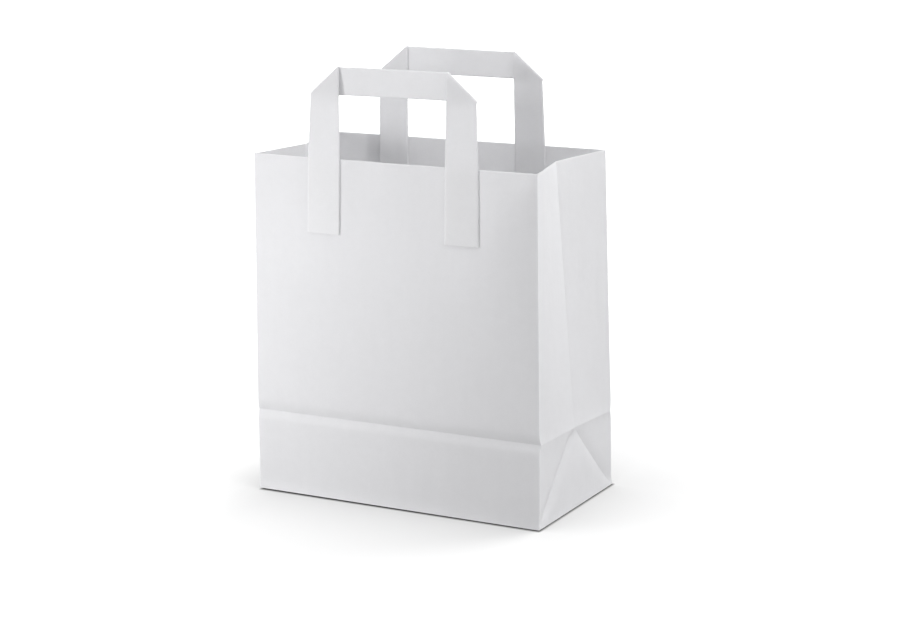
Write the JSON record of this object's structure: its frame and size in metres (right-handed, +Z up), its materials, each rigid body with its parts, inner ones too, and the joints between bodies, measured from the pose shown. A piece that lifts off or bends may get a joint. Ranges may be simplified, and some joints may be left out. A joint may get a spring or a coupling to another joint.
{
  "type": "paper carrier bag",
  "caption": "White kraft paper carrier bag with a folded block bottom, gusseted sides, an open mouth and flat folded paper tape handles.",
  "frame": {"origin": "middle of the base, on the surface that the bag stands on", "axes": "+Z up towards the mouth, -Y out of the front panel, +X to the right seen from the front"},
  "size_m": [0.22, 0.1111, 0.303],
  "materials": {
    "bag_paper": "matte uncoated white kraft",
    "handle_tape": "matte folded white kraft tape"
  },
  "bodies": {
    "root": {"bag_body": "bag_paper", "front_handle": "handle_tape", "back_handle": "handle_tape"}
  },
  "joints": []
}
